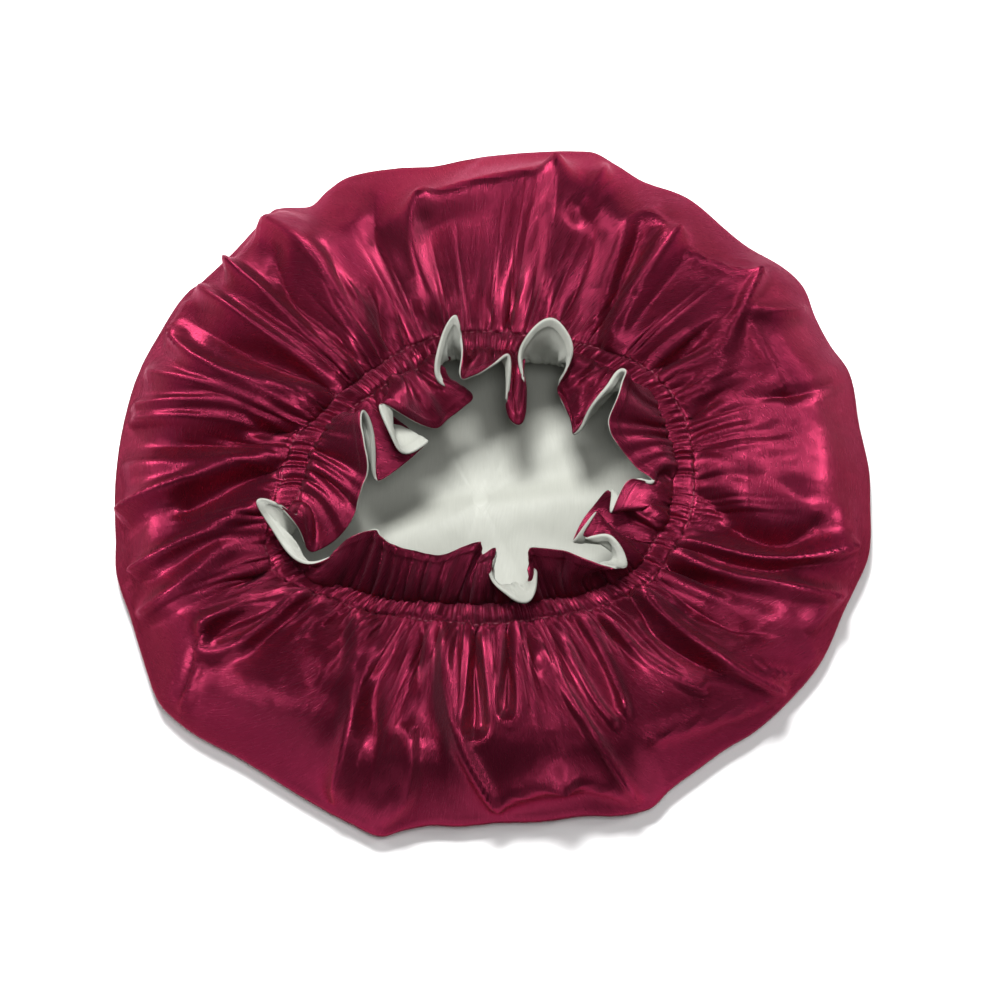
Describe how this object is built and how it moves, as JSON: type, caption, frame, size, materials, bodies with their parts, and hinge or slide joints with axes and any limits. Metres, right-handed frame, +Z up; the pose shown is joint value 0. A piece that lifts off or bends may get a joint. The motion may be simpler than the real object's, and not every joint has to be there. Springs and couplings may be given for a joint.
{
  "type": "sleep bonnet",
  "caption": "Round two-layer satin sleep bonnet, gathered at the mouth by elastic in a stitched casing with a standing ruffle, laid on its crown.",
  "frame": {"origin": "middle of the outline's box, at the flat of the crown that it rests on", "axes": "+Z up out of the mouth, +X to the right and +Y away from the viewer as it lies"},
  "size_m": [0.3408, 0.326, 0.066],
  "materials": {
    "outer_satin": "soft burgundy satin",
    "lining_satin": "soft pale sage satin",
    "elastic": "matt braided elastic"
  },
  "bodies": {
    "root": {"outer_cloth": "outer_satin", "lining": "lining_satin", "elastic_band": "elastic"}
  },
  "joints": []
}
